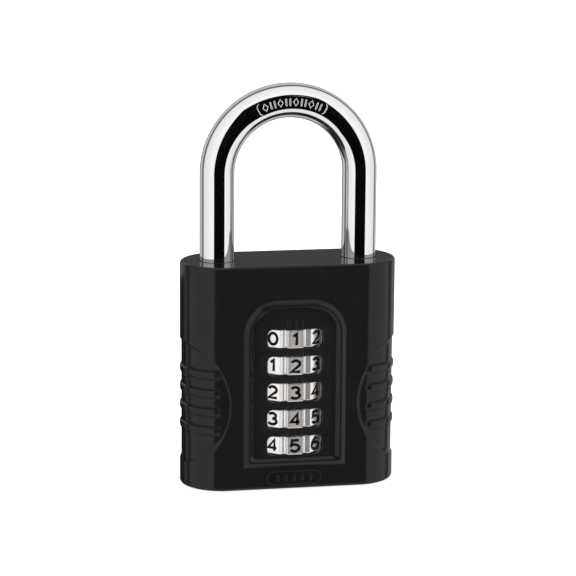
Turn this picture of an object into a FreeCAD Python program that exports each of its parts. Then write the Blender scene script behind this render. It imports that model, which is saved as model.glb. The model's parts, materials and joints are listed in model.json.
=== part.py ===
"""A five-wheel combination padlock with a long steel shackle, as an assembly of separate pieces.

Frame: millimetres. +Z is up, +X is the heel side of the shackle, and the wheels face -Y.
The origin is the centre of the flat underside of the casing.
"""

import math
import os

import FreeCAD, Part

V = FreeCAD.Vector
os.makedirs("parts", exist_ok=True)

# ---- driving dimensions -------------------------------------------------------------------
# casing
body_width = 65.0
body_height = 68.0
body_depth = 25.0
front_flat_top = 43.6  # width of the flat front at the top, between the rounded sides
front_flat_foot = 41.6  # the flat front narrows a little towards the foot
edge_round = 0.9
floor_thick = 3.2
roof_thick = 3.5

# finger grips on the sides
grip_depth = 0.45
grip_circle = 19.66
grip_reach_x = 19.1  # the grip's edge comes this near to the middle
grip_z = 26.0
grip_ribs = 4
ribs_z = 27.0
rib_pitch = 5.68
rib_height = 2.3
rib_end_x = 22.6

# shackle
rod_diameter = 10.3
leg_spacing = 43.0
arch_centre_z = 94.0
toe_depth = 7.3  # how far the short leg enters the casing when closed
toe_room = 0.6  # below the short leg when closed
heel_foot_z = 14.0
leg_clearance = 0.15
lead_in = 0.4
leg_chamfer = 0.9
groove_radius = 3.6  # the neck in the long leg that the yoke grips
stamp_half_angle = 28.0
stamp_half_width = 1.75
stamp_depth = 0.42

# code wheels
wheel_count = 5
wheel_pitch = 8.15
middle_wheel_z = 29.75
digits = 10
wheel_apothem = 11.0  # from the wheel's axis to a digit face
digit_face = 4.4
valley_depth = 0.75
wheel_thick = 5.4
wheel_proud = 0.6  # how far a digit face stands out of the window panel
notch_foot = 1.45  # the clutch notches start this far above a wheel's middle
counterbore_foot = -0.1
notch_width = 2.3
tooth_width = 2.0

# window panel and its raised frame
window_width = 16.3
window_height = 5.8
window_round = 1.7
frame_half_width = 15.45
frame_top_z = 57.8
frame_foot_z = 6.9
frame_corner = 10.4
frame_rise = 1.0
outer_slope = 1.4
crest = 0.5
inner_slope = 0.85

# raised lines and the plain badge
line_width = 0.9
line_rise = 0.2
line_spacing = 2.1
line_gap = 0.2
first_line_height = 2.8
badge_half_width = 8.4
badge_half_height = 2.2
badge_z = 3.55
badge_corner = 2.1
badge_line = 0.4
badge_rise = 0.25
bar_count = 5
bar_spacing = 2.5
bar_half_width = 0.45
bar_half_height = 1.2

# lock mechanism
core_radius = 2.5
fin_radius = 4.2
fin_width = 2.0
fin_height = 2.2
flange_thick = 3.55
code_shift = 1.3  # travel of the clutch sleeves when the code is changed
sleeve_radius = 5.7
tooth_radius = 6.6
tooth_thick = 1.1
running_fit = 0.05
slip = 0.1
fin_gap = 0.3
journal_radius = 1.9
ring_groove_radius = 1.5
ring_outer = 3.3
ring_thick = 0.7
ring_mouth = 1.0  # half width of the gap in the ring
plate_thick = 1.7
plate_half_width = 12.0
plate_reach = 7.5  # from the wheels' axis forward
yoke_thick = 2.6
yoke_half = 4.2
fork_radius = 5.6
fork_lip = 2.6
washer_thick = 0.8
bush_height = 3.0
reset_coil = 5.0
reset_wire = 0.4
reset_turns = 3.5
lift_coil = 4.2
lift_wire = 0.5
lift_turns = 6
end_play = 0.03

# back cover
cover_half_width = 17.0
cover_margin = 2.9  # from the cover to the casing's top and foot
cover_thick = 2.8
cover_corner = 4.0
seat_gap = 0.05
rivet_radius = 1.2
rivet_depth = 5.2
rivet_x = 13.9
rivet_foot_z = 6.6
rivet_top_z = 61.0

# detent springs
leaf_half_length = 9.0
leaf_height = 4.2
leaf_thick = 0.3
spring_room = 0.8  # depth of the pockets in the cover

# ---- sizes worked out from them -----------------------------------------------------------
half_depth = body_depth / 2
rod_radius = rod_diameter / 2
leg_x = leg_spacing / 2
panel_y = -half_depth - frame_rise + inner_slope
axis_y = panel_y - wheel_proud + wheel_apothem
corner_radius = math.hypot(wheel_apothem, digit_face / 2)
slot_radius = corner_radius + 0.28
cover_y = half_depth - cover_thick
sleeve_length = wheel_pitch - running_fit
sleeve_bore = fin_radius + 0.2
gate_width = fin_width + 0.3
shackle_travel = wheel_pitch
sleeve_way = sleeve_radius + 0.25  # radius of the passage for the sleeves through the webs
wheel_z = [middle_wheel_z + wheel_pitch * (wheel_count // 2 - n) for n in range(wheel_count)]
stack_top = wheel_z[0] + sleeve_length / 2
stack_foot = wheel_z[-1] - sleeve_length / 2
plate_foot = stack_top + slip
plate_top = plate_foot + plate_thick
yoke_foot = plate_top + 0.15
yoke_top = yoke_foot + yoke_thick
ring_foot = yoke_top + running_fit
pocket_top = body_height - roof_thick
spindle_top = pocket_top - shackle_travel - 0.15
rivet_places = [(x, z) for z in (rivet_foot_z, rivet_top_z) for x in (-rivet_x, rivet_x)]


# ---- plain solids -------------------------------------------------------------------------
def block(x0, x1, y0, y1, z0, z1):
    """A box between two corners."""
    return Part.makeBox(x1 - x0, y1 - y0, z1 - z0, V(x0, y0, z0))


def post(radius, z0, z1, x=0.0, y=axis_y):
    """An upright cylinder, on the wheels' axis unless told otherwise."""
    return Part.makeCylinder(radius, z1 - z0, V(x, y, z0))


def pipe(outer, inner, z0, z1, x=0.0, y=axis_y):
    """An upright tube."""
    return post(outer, z0, z1, x, y).cut(post(inner, z0 - 1, z1 + 1, x, y))


def rounded_slab(half_width, z0, z1, corner, y0, y1):
    """A slab that faces front and back, with its four upright corners rounded."""
    slab = block(-half_width, half_width, y0, y1, z0, z1)
    edges = [e for e in slab.Edges if abs(e.tangentAt(e.FirstParameter).y) > 0.99]
    return slab.makeFillet(corner, edges)


def coil(radius, wire, z0, z1, turns, x, y):
    """A round-wire compression spring between two heights."""
    pitch = (z1 - z0 - 2 * wire) / turns
    path = Part.makeHelix(pitch, pitch * turns, radius)
    start = Part.Wire(Part.makeCircle(wire, V(radius, 0, 0), V(0, 1, 0)))
    spring = Part.Wire(path.Edges).makePipeShell([start], True, True)
    spring.translate(V(x, y, z0 + wire))
    return spring


# ---- casing -------------------------------------------------------------------------------
def casing_outline(flat, inset, z):
    """Flat front and back joined by an arc at each side, seen from above."""
    flat_half = flat / 2
    side = body_width / 2 - inset
    depth = half_depth - inset
    corners = [V(-flat_half, -depth, z), V(flat_half, -depth, z), V(flat_half, depth, z), V(-flat_half, depth, z)]
    edges = [
        Part.makeLine(corners[0], corners[1]),
        Part.Arc(corners[1], V(side, 0, z), corners[2]).toShape(),
        Part.makeLine(corners[2], corners[3]),
        Part.Arc(corners[3], V(-side, 0, z), corners[0]).toShape(),
    ]
    return Part.Wire(edges)


def casing_block():
    """The outer shape with its top and bottom edges rounded."""
    foot = casing_outline(front_flat_foot, 0, 0)
    top = casing_outline(front_flat_top, 0, body_height)
    shape = Part.makeLoft([foot, top], True, True)
    level = [e for e in shape.Edges if e.BoundBox.ZLength < 1e-6]
    return shape.makeFillet(edge_round, level)


def grip_recess(side):
    """A shallow round-ended recess that wraps one side, less the ribs that stand in it."""
    deep = body_depth
    centre = V(side * (grip_reach_x + grip_circle), -deep, grip_z)
    recess = Part.makeCylinder(grip_circle, 2 * deep, centre, V(0, 1, 0))
    core = Part.makeLoft(
        [casing_outline(front_flat_foot, grip_depth, 0), casing_outline(front_flat_top, grip_depth, body_height)],
        True,
        True,
    )
    recess = recess.cut(core)
    for n in range(grip_ribs):
        z = ribs_z + rib_pitch * (n - (grip_ribs - 1) / 2)
        tip_x = side * (rib_end_x + rib_height / 2)
        tip = Part.makeCylinder(rib_height / 2, 2 * deep, V(tip_x, -deep, z), V(0, 1, 0))
        far_x = side * body_width
        bar = block(min(tip_x, far_x), max(tip_x, far_x), -deep, deep, z - rib_height / 2, z + rib_height / 2)
        recess = recess.cut(tip.fuse(bar))
    return recess


def frame_outline(inset, y):
    """The window frame's outline: square at the foot, with large round corners at the top."""
    half = frame_half_width - inset
    top = frame_top_z - inset
    foot = frame_foot_z + inset
    corner = frame_corner - inset
    middle = corner * (1 - math.sqrt(0.5))
    points = {
        "a": V(-half, y, foot),
        "b": V(-half, y, top - corner),
        "c": V(-half + corner, y, top),
        "d": V(half - corner, y, top),
        "e": V(half, y, top - corner),
        "f": V(half, y, foot),
    }
    edges = [
        Part.makeLine(points["a"], points["b"]),
        Part.Arc(points["b"], V(-half + middle, y, top - middle), points["c"]).toShape(),
        Part.makeLine(points["c"], points["d"]),
        Part.Arc(points["d"], V(half - middle, y, top - middle), points["e"]).toShape(),
        Part.makeLine(points["e"], points["f"]),
        Part.makeLine(points["f"], points["a"]),
    ]
    return Part.Wire(edges)


def window_frame():
    """The raised frame with its outer slope, as a solid that roots in the casing's front."""
    root = frame_outline(0, -half_depth + 1)
    edge = frame_outline(0, -half_depth)
    rim = frame_outline(outer_slope, -half_depth - frame_rise)
    return Part.makeLoft([root, edge, rim], True, True)


def panel_recess():
    """The room inside the frame, down to the flat window panel."""
    over = 0.5
    mouth = frame_outline(outer_slope + crest - over, -half_depth - frame_rise - over)
    panel = frame_outline(outer_slope + crest + inner_slope, panel_y)
    return Part.makeLoft([mouth, panel], True, True)


def window(z):
    """One opening for a wheel, with rounded corners, from the panel to the wheel's slot."""
    half = window_height / 2
    return rounded_slab(window_width / 2, z - half, z + half, window_round, -half_depth - 2, axis_y)


def wheel_slot(z):
    """The slot that one wheel turns in, open towards the back for assembly."""
    half = window_height / 2
    round_end = post(slot_radius, z - half, z + half)
    return round_end.fuse(block(-slot_radius, slot_radius, axis_y, cover_y, z - half, z + half))


def index_lines():
    """Three fine raised lines above the first window and on each web, which mark the reading face."""
    web = wheel_pitch - window_height
    half = line_width / 2
    root = panel_y + 0.5
    lines = []
    for n in range(wheel_count):
        foot = wheel_z[n] + window_height / 2 + line_gap
        top = foot + (web - 2 * line_gap if n else first_line_height)
        for x in (-line_spacing, 0.0, line_spacing):
            lines.append(block(x - half, x + half, panel_y - line_rise, root, foot, top))
    return lines


def badge_slab(inset, y0, y1):
    """A plain slim badge with round ends, below the window frame."""
    tall = badge_half_height - inset
    return rounded_slab(badge_half_width - inset, badge_z - tall, badge_z + tall, badge_corner - inset, y0, y1)


def badge():
    """A raised line round the badge, and a row of plain bars inside it."""
    front = -half_depth - badge_rise
    root = -half_depth + 0.5
    pieces = [badge_slab(0, front, root).cut(badge_slab(badge_line, front - 1, root + 1))]
    foot = badge_z - bar_half_height
    top = badge_z + bar_half_height
    for n in range(bar_count):
        x = bar_spacing * (n - (bar_count - 1) / 2)
        pieces.append(block(x - bar_half_width, x + bar_half_width, front, root, foot, top))
    return pieces


def leg_hole(x, foot):
    """A hole for one leg, with a small lead-in at the top."""
    radius = rod_radius + leg_clearance
    hole = post(radius, foot, body_height + 1, x, 0)
    lead = Part.makeCone(radius, radius + lead_in, lead_in, V(x, 0, body_height - lead_in))
    return hole.fuse(lead)


def yoke_pocket():
    """Room for the yoke to rise in: open to the cover, with a closed channel to the long leg."""
    ahead = axis_y - 7.0
    channel = fork_radius + 0.5
    arm_front = axis_y - yoke_half - 0.5
    main = block(-8.0, 11.5, ahead, cover_y, plate_top, pocket_top)
    side = block(11.0, leg_x + fork_lip + 0.9, min(-channel, arm_front), channel, plate_top, pocket_top)
    return main.fuse(side)


def plate_pocket(gap):
    """Room for the retaining plate above the sleeves."""
    half = plate_half_width + gap
    return block(-half, half, axis_y - plate_reach - gap, cover_y, plate_foot, plate_top + gap)


def sleeve_passage():
    """The passage through the webs for the clutch sleeves, open towards the back."""
    top = plate_foot + 1
    round_end = post(sleeve_way, floor_thick, top)
    return round_end.fuse(block(-sleeve_way, sleeve_way, axis_y, cover_y, floor_thick, top))


def cover_slab(gap):
    """The back cover's outline; gap grows it into the seat that holds it, which is open to the back."""
    foot = cover_margin - gap
    top = body_height - cover_margin + gap
    back = half_depth + (1.0 if gap else 0.0)
    return rounded_slab(cover_half_width + gap, foot, top, cover_corner + gap, cover_y, back)


def rivets():
    """Four flush pins that hold the cover."""
    foot_y = half_depth - rivet_depth
    return [Part.makeCylinder(rivet_radius, rivet_depth, V(x, foot_y, z), V(0, 1, 0)) for x, z in rivet_places]


def casing():
    """The cast body with its grips, window frame, wheel slots, leg holes and cover seat."""
    body = casing_block()
    body = body.fuse(window_frame())
    body = body.cut(panel_recess())
    body = body.fuse(index_lines() + badge())
    body = body.cut([grip_recess(-1), grip_recess(1)])
    rooms = [cover_slab(seat_gap), sleeve_passage(), yoke_pocket(), plate_pocket(running_fit)]
    rooms += [leg_hole(leg_x, floor_thick), leg_hole(-leg_x, body_height - toe_depth - toe_room)]
    for z in wheel_z:
        rooms += [window(z), wheel_slot(z)]
    return body.cut(rooms).cut(rivets()).removeSplitter()


def back_cover():
    """The plate that closes the casing, with shallow pockets for the detent springs."""
    cover = cover_slab(0)
    half = leaf_half_length + 0.2
    tall = leaf_height / 2 + 0.3
    pockets = [block(-half, half, cover_y - 1, cover_y + spring_room, z - tall, z + tall) for z in wheel_z]
    return cover.cut(pockets).cut(rivets())


# ---- shackle and what hangs from it -------------------------------------------------------
def round_the_arch(face, start, sweep):
    """Sweep a face that lies level on the +X side round the arch's centre, from one angle on."""
    centre = V(0, 0, arch_centre_z)
    face.rotate(centre, V(0, -1, 0), start)
    return face.revolve(centre, V(0, -1, 0), sweep)


def stamp_recess():
    """A shallow curved band across the front of the arch's top."""
    floor_y = -rod_radius + stamp_depth
    x0 = leg_x - stamp_half_width
    x1 = leg_x + stamp_half_width
    corners = [(x0, -rod_radius - 1), (x1, -rod_radius - 1), (x1, floor_y), (x0, floor_y)]
    points = [V(x, y, arch_centre_z) for x, y in corners]
    face = Part.Face(Part.makePolygon(points + points[:1]))
    return round_the_arch(face, 90 - stamp_half_angle, 2 * stamp_half_angle)


def shackle():
    """Bent steel rod: an arch, a short toe leg and a long heel leg with a groove for the yoke."""
    toe_foot = body_height - toe_depth
    chamfer = leg_chamfer
    section = Part.Face(Part.Wire(Part.makeCircle(rod_radius, V(leg_x, 0, arch_centre_z))))
    arch = round_the_arch(section, 0, 180)
    toe = post(rod_radius, toe_foot + chamfer, arch_centre_z, -leg_x, 0)
    toe_end = Part.makeCone(rod_radius - chamfer, rod_radius, chamfer, V(-leg_x, 0, toe_foot))
    heel = post(rod_radius, heel_foot_z + chamfer, arch_centre_z, leg_x, 0)
    heel_end = Part.makeCone(rod_radius - chamfer, rod_radius, chamfer, V(leg_x, 0, heel_foot_z))
    rod = arch.fuse([toe, toe_end, heel, heel_end])
    groove = pipe(rod_radius + 1, groove_radius, yoke_foot - running_fit, yoke_top + running_fit, leg_x, 0)
    rod = rod.cut(groove)
    return rod.cut(stamp_recess()).removeSplitter()


def yoke():
    """The flat fork that ties the long leg to the spindle."""
    z0 = yoke_foot
    z1 = yoke_top
    low = z0 - 1
    high = z1 + 1
    eye = post(yoke_half, z0, z1)
    arm = block(0.0, leg_x - fork_radius, axis_y - yoke_half, axis_y + yoke_half, z0, z1)
    fork = post(fork_radius, z0, z1, leg_x, 0)
    fork_root = block(leg_x - 7.5, leg_x, -fork_radius, fork_radius, z0, z1)
    plate = eye.fuse([arm, fork, fork_root])
    grip = groove_radius + running_fit
    mouth = post(grip, low, high, leg_x, 0)
    mouth = mouth.fuse(block(leg_x, leg_x + 10, -grip, grip, low, high))
    beyond = block(leg_x + fork_lip, leg_x + 12, -10, 10, low, high)
    bore = post(journal_radius + running_fit, low, high)
    return plate.cut([mouth, beyond, bore]).removeSplitter()


def spindle():
    """A round core with one fin for each sleeve, and a journal for the yoke at the top."""
    shoulder = yoke_foot - running_fit
    core = post(core_radius, floor_thick + 0.4, shoulder)
    journal = post(journal_radius, shoulder, spindle_top)
    groove = pipe(journal_radius + 1, ring_groove_radius, ring_foot, ring_foot + ring_thick + 0.1)
    fins = []
    for z in wheel_z:
        top = z + sleeve_length / 2 - flange_thick - code_shift - fin_gap
        fin = block(-fin_width / 2, fin_width / 2, axis_y + 1.0, axis_y + fin_radius, top - fin_height, top)
        fins.append(fin.common(post(fin_radius, top - fin_height, top)))
    return core.fuse([journal] + fins).cut(groove).removeSplitter()


def spindle_ring():
    """The open retaining ring that holds the yoke on the spindle."""
    foot = ring_foot + running_fit
    ring = pipe(ring_outer, ring_groove_radius + end_play, foot, foot + ring_thick)
    gap = block(-ring_mouth, ring_mouth, axis_y, axis_y + 5, foot - 1, foot + ring_thick + 1)
    return ring.cut(gap)


# ---- code wheels and clutch sleeves -------------------------------------------------------
def polar(radius, degrees, z):
    """A point at an angle about the wheels' axis, measured from straight ahead."""
    angle = math.radians(degrees)
    return V(radius * math.sin(angle), axis_y - radius * math.cos(angle), z)


def wheel_outline(z):
    """Ten flat digit faces with a V-shaped valley between each pair."""
    step = 360.0 / digits
    face_angle = math.degrees(math.atan2(digit_face / 2, wheel_apothem))
    edges = []
    for n in range(digits):
        at = n * step
        near = polar(corner_radius, at - face_angle, z)
        far = polar(corner_radius, at + face_angle, z)
        low = polar(wheel_apothem - valley_depth, at + step / 2, z)
        following = polar(corner_radius, at + step - face_angle, z)
        edges += [Part.makeLine(near, far), Part.makeLine(far, low), Part.makeLine(low, following)]
    return Part.Wire(edges)


def ring_of_teeth(inner, outer, z0, z1, width):
    """Ten blocks round the wheels' axis, trimmed to a round outside."""
    blank = pipe(outer, inner, z0, z1)
    bar = block(-width / 2, width / 2, axis_y - outer - 1, axis_y - inner / 2, z0, z1)
    teeth = []
    for n in range(digits):
        tooth = bar.copy()
        tooth.rotate(V(0, axis_y, 0), V(0, 0, 1), n * 360.0 / digits)
        teeth.append(tooth.common(blank))
    return teeth


def code_wheel(z):
    """A digit wheel with a plain bore, a counterbore and a notched upper bore for the clutch."""
    foot = z - wheel_thick / 2
    top = z + wheel_thick / 2
    wheel = Part.Face(wheel_outline(foot)).extrude(V(0, 0, wheel_thick))
    bore = post(sleeve_radius + running_fit, foot - 1, top + 1)
    counterbore = post(tooth_radius + 0.15, z + counterbore_foot, z + notch_foot)
    notches = ring_of_teeth(sleeve_radius - 0.2, tooth_radius + 0.15, z + notch_foot - 0.01, top + 1, notch_width)
    return wheel.cut([bore, counterbore] + notches)


def clutch_sleeve(z):
    """A sleeve with ten clutch teeth outside, and inside a flange with one gate for the fin."""
    foot = z - sleeve_length / 2
    top = z + sleeve_length / 2
    sleeve = pipe(sleeve_radius, sleeve_bore, foot, top)
    flange = pipe(sleeve_radius - 0.5, core_radius + slip, top - flange_thick, top)
    half = gate_width / 2
    gate = block(-half, half, axis_y, axis_y + sleeve_bore, top - flange_thick - 1, top + 1)
    gate = gate.common(post(sleeve_bore, foot, top + 1))
    tooth_foot = z + notch_foot + 0.15
    teeth = ring_of_teeth(sleeve_radius - 0.2, tooth_radius, tooth_foot, tooth_foot + tooth_thick, tooth_width)
    return sleeve.fuse([flange] + teeth).cut(gate).removeSplitter()


# ---- plates, bushes and springs -----------------------------------------------------------
def retaining_plate():
    """The plate that keeps the sleeves down while the fins pass through its hole."""
    half = plate_half_width
    plate = block(-half, half, axis_y - plate_reach, cover_y - running_fit, plate_foot, plate_top)
    return plate.cut(post(fin_radius + fin_gap, plate_foot - 1, plate_top + 1))


def foot_bush():
    """The bush in the casing's floor that steadies the foot of the spindle."""
    return pipe(sleeve_bore - 0.3, core_radius + running_fit, floor_thick, floor_thick + bush_height)


def thrust_washer():
    """The washer between the lowest sleeve and the reset spring."""
    top = stack_foot - end_play
    return pipe(sleeve_radius, sleeve_bore, top - washer_thick, top)


def reset_spring():
    """The spring that pushes the stack of sleeves up."""
    top = stack_foot - washer_thick - 2 * end_play
    return coil(reset_coil, reset_wire, floor_thick + end_play, top, reset_turns, 0, axis_y)


def shackle_spring():
    """The spring under the long leg that lifts the shackle when the code is right."""
    return coil(lift_coil, lift_wire, floor_thick + running_fit, heel_foot_z - running_fit, lift_turns, leg_x, 0)


def detent_spring(z):
    """A bowed leaf that bears on the rear face of one wheel and clicks it into place."""
    half = leaf_half_length
    crown_y = axis_y + wheel_apothem + end_play
    end_y = cover_y + spring_room - leaf_thick - end_play
    low = z - leaf_height / 2
    near = [V(-half, end_y, low), V(0, crown_y, low), V(half, end_y, low)]
    lift = V(0, leaf_thick, 0)
    edges = [
        Part.Arc(*near).toShape(),
        Part.makeLine(near[2], near[2] + lift),
        Part.Arc(*[p + lift for p in reversed(near)]).toShape(),
        Part.makeLine(near[0] + lift, near[0]),
    ]
    return Part.Face(Part.Wire(edges)).extrude(V(0, 0, leaf_height))


# ---- write every piece --------------------------------------------------------------------
def save(name, shape):
    """Write one node, and say what it holds."""
    shape.exportStep("parts/" + name + ".step")
    print(name, "solids", len(shape.Solids), "valid", shape.isValid(), "mm3", round(shape.Volume))


save("casing", casing())
save("back_cover", back_cover())
save("cover_rivets", Part.makeCompound(rivets()))
save("shackle", shackle())
save("yoke", yoke())
save("spindle", spindle())
save("spindle_ring", spindle_ring())
save("retaining_plate", retaining_plate())
save("foot_bush", foot_bush())
save("thrust_washer", thrust_washer())
save("reset_spring", reset_spring())
save("shackle_spring", shackle_spring())
for number, height in enumerate(wheel_z, 1):
    save("code_wheel_" + str(number), code_wheel(height))
    save("clutch_sleeve_" + str(number), clutch_sleeve(height))
    save("detent_spring_" + str(number), detent_spring(height))
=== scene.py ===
# %% [markdown]
# # A combination padlock
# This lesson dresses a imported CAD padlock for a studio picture.

# %% Load the frame
import json
import math

import bmesh
import bpy
import numpy as np
from mathutils import Matrix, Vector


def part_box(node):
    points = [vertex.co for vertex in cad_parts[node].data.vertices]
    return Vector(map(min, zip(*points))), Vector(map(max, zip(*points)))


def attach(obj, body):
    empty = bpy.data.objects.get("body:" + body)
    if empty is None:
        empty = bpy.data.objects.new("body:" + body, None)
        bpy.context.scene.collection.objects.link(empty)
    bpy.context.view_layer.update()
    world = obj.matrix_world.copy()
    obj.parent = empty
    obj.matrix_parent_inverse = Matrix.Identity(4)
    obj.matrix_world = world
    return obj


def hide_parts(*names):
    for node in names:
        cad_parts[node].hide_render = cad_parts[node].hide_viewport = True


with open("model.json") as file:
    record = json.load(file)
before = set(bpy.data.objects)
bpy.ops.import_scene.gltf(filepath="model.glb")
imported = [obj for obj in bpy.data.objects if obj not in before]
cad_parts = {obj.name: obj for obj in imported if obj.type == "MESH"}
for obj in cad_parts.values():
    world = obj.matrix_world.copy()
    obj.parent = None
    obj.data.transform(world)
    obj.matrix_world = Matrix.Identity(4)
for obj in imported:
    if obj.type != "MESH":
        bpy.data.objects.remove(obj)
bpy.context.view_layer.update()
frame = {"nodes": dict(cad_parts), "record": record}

MM = 0.001

# %% [markdown]
# ## Sizes
# Every place in this file is worked out from the boxes of the CAD nodes, in millimetres. What a box can't
# tell, such as a fillet or the width of a slope, is named here once.

# %% Read the main sizes from the frame
def box_mm(node):
    """The lowest and highest corners of a CAD node, in millimetres."""
    low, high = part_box(node)
    return np.array(low) / MM, np.array(high) / MM


casing_low, casing_high = box_mm("casing")
shackle_low, shackle_high = box_mm("shackle")
yoke_low, yoke_high = box_mm("yoke")
cover_low, cover_high = box_mm("back_cover")
wheel_boxes = [box_mm(f"code_wheel_{n}") for n in range(1, 6)]

body_height = casing_high[2]
half_width = casing_high[0]
half_depth = casing_high[1]
frame_rise = -casing_low[1] - half_depth
rod = shackle_high[1]
leg_x = shackle_high[0] - rod
arch_z = shackle_high[2] - rod - leg_x
wheel_z = [(low[2] + high[2]) / 2 for low, high in wheel_boxes]
wheel_half = (wheel_boxes[0][1][2] - wheel_boxes[0][0][2]) / 2
wheel_apothem = (wheel_boxes[0][1][1] - wheel_boxes[0][0][1]) / 2
axis_y = (wheel_boxes[0][1][1] + wheel_boxes[0][0][1]) / 2
pitch = wheel_z[0] - wheel_z[1]
print("casing", 2 * half_width, 2 * half_depth, body_height)
print("rod", 2 * rod, "legs at", leg_x, "arch at", arch_z)
print("wheels at", [round(z, 2) for z in wheel_z], "apothem", wheel_apothem, "axis y", axis_y)

# %% Name the sizes that a box can't tell
flat_foot = 20.8  # half width of the casing's flat front at the foot
flat_top = 21.8
edge_round = 0.9
grip_depth = 0.45
grip_circle = 19.66
grip_centre_x = 38.76
grip_z = 26.0
ribs_z = 27.0
rib_pitch = 5.68
rib_half = 1.15
rim_depth = 0.22  # of the fine line round each rib
rib_tip_x = 23.75
frame_half = 15.45  # half width of the window frame
frame_top = 57.8
frame_foot = 6.9
frame_corner = 10.4
outer_slope = 1.4
crest = 0.5
inner_slope = 0.85
panel_y = -half_depth - frame_rise + inner_slope
window_half = 8.15
window_tall = 2.9
window_round = 1.7
digit_face = 4.4
valley_depth = 0.75
print("window panel at y", panel_y)

# %% [markdown]
# ## Surfaces from grids
# A surface is a function of two parameters. numpy works it out as one array of rows and columns, and a mesh
# is that array with a four-sided face between each four neighbours. Several grids can share their edges, and
# merging the points that coincide then closes the seams.

# %% Helpers that turn grids into a mesh
def quads(rows, cols, wrap=False):
    """Faces between neighbours of a grid; wrap joins the last column to the first."""
    r = np.arange(rows - 1)[:, None]
    c = np.arange(cols if wrap else cols - 1)[None, :]
    right = (c + 1) % cols
    corners = [r * cols + c, r * cols + right, (r + 1) * cols + right, (r + 1) * cols + c]
    return np.stack(corners, -1).reshape(-1, 4)


def mesh_object(name, grids, sharp=35.0, weld=True, outward=True):
    """One object from grids, each (points of shape rows, cols, 3 in millimetres, wrap)."""
    points, faces, start = [], [], 0
    for grid, wrap in grids:
        rows, cols = grid.shape[:2]
        points.append(grid.reshape(-1, 3) * MM)
        faces.append(quads(rows, cols, wrap) + start)
        start += rows * cols
    mesh = bpy.data.meshes.new(name)
    mesh.from_pydata(np.concatenate(points).tolist(), [], np.concatenate(faces).tolist())
    bm = bmesh.new()
    bm.from_mesh(mesh)
    if weld:
        bmesh.ops.remove_doubles(bm, verts=bm.verts, dist=2e-6)
        bmesh.ops.dissolve_degenerate(bm, edges=bm.edges, dist=1e-7)
    if outward:
        bmesh.ops.recalc_face_normals(bm, faces=bm.faces)
    bm.to_mesh(mesh)
    bm.free()
    mesh.shade_smooth()
    mesh.set_sharp_from_angle(angle=math.radians(sharp))
    obj = bpy.data.objects.new(name, mesh)
    bpy.context.scene.collection.objects.link(obj)
    return obj


def smoothstep(low, high, value):
    """0 below low, 1 above high, and 3t^2 - 2t^3 between them."""
    t = np.clip((value - low) / (high - low), 0, 1)
    return t * t * (3 - 2 * t)


def rounded_path(corners, radii, steps=4):
    """A polyline whose corners are replaced by arcs; a radius of 0 keeps the corner."""
    corners = [np.array(p, float) for p in corners]
    path = []
    for n, (corner, radius) in enumerate(zip(corners, radii)):
        if radius == 0:
            path.append(corner[None])
            continue
        back = corners[n - 1] - corner
        ahead = corners[(n + 1) % len(corners)] - corner
        back, ahead = back / np.linalg.norm(back), ahead / np.linalg.norm(ahead)
        half = math.acos(np.clip(back @ ahead, -1, 1)) / 2
        middle = (back + ahead) / np.linalg.norm(back + ahead)
        centre = corner + middle * radius / math.sin(half)
        start = corner + back * radius / math.tan(half) - centre
        end = corner + ahead * radius / math.tan(half) - centre
        turn = math.atan2(start[0] * end[1] - start[1] * end[0], start @ end)
        a = np.linspace(0, turn, steps + 1)
        x = start[0] * np.cos(a) - start[1] * np.sin(a)
        y = start[0] * np.sin(a) + start[1] * np.cos(a)
        path.append(centre + np.stack([x, y], -1))
    return np.concatenate(path)


print("helpers ready")

# %% [markdown]
# ## The casing's skin
# The real casing is cast in zinc and coated, so every edge is a little soft. Seen from above its outline is a
# flat front and back joined by an arc at each side. The skin is made as bands: one round each side, which
# carries the grip recess and its ribs as a small push inwards, and flat patches between them. Rings of points
# run from a patch's border to the round or arched opening in it, which gives clean edges without cutting.

# %% The rows of the skin, from foot to top
fillet = np.linspace(0, math.pi / 2, 7)
fine = 0.3
foot_rows = np.stack([edge_round * (1 - np.sin(fillet)), edge_round * (1 - np.cos(fillet))], -1)
rib_rows = np.array([0.3, 0.6, 0.85, 0.95, 1.05, 1.15, 1.25, 1.35, 1.45, 1.6, 1.9, 2.35])
rib_rows = np.concatenate([[-rib_pitch / 2], -rib_rows[::-1], [0.0], rib_rows])
ribs_foot, ribs_top = ribs_z - 2 * rib_pitch, ribs_z + 2 * rib_pitch
wall_z = np.concatenate([
    [edge_round + 0.12],
    np.linspace(1.6, ribs_foot - 8.2, 9),
    np.arange(ribs_foot - 7.9, ribs_foot - 0.1, fine),
    (ribs_z + rib_pitch * (np.arange(4)[:, None] - 1.5) + rib_rows).ravel(),
    np.arange(ribs_top, 47.2, fine),
    np.linspace(47.8, body_height - edge_round - 0.7, 14),
    [body_height - edge_round - 0.12],
])
wall_rows = np.stack([np.zeros_like(wall_z), wall_z], -1)
top_rows = np.stack([foot_rows[::-1, 0], body_height - foot_rows[::-1, 1]], -1)
row_inset, row_z = np.concatenate([foot_rows, wall_rows, top_rows]).T
print("rows", len(row_z))


# %% One side of the skin
def grip_push(x, z):
    """Millimetres pushed in: level in the grip's circle, less on a rib, and more in a fine line round it."""
    inside = grip_circle - np.hypot(np.abs(x) - grip_centre_x, z - grip_z)
    floor = smoothstep(-0.05, 0.5, inside)
    off = np.full_like(x, 9.0)
    for n in range(4):
        rise = z - (ribs_z + rib_pitch * (n - 1.5))
        off = np.minimum(off, np.hypot(np.minimum(np.abs(x) - rib_tip_x, 0), rise))
    crown = 0.12 * (off / rib_half) ** 2
    on_rib = 1 - smoothstep(rib_half - 0.25, rib_half + 0.1, off)
    push = grip_depth + (np.minimum(crown, grip_depth) - grip_depth) * on_rib
    rim = rim_depth * np.exp(-(((off - rib_half - 0.15) / 0.22) ** 2))
    return floor * (push + rim)


patch_edge = 17.5


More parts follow.
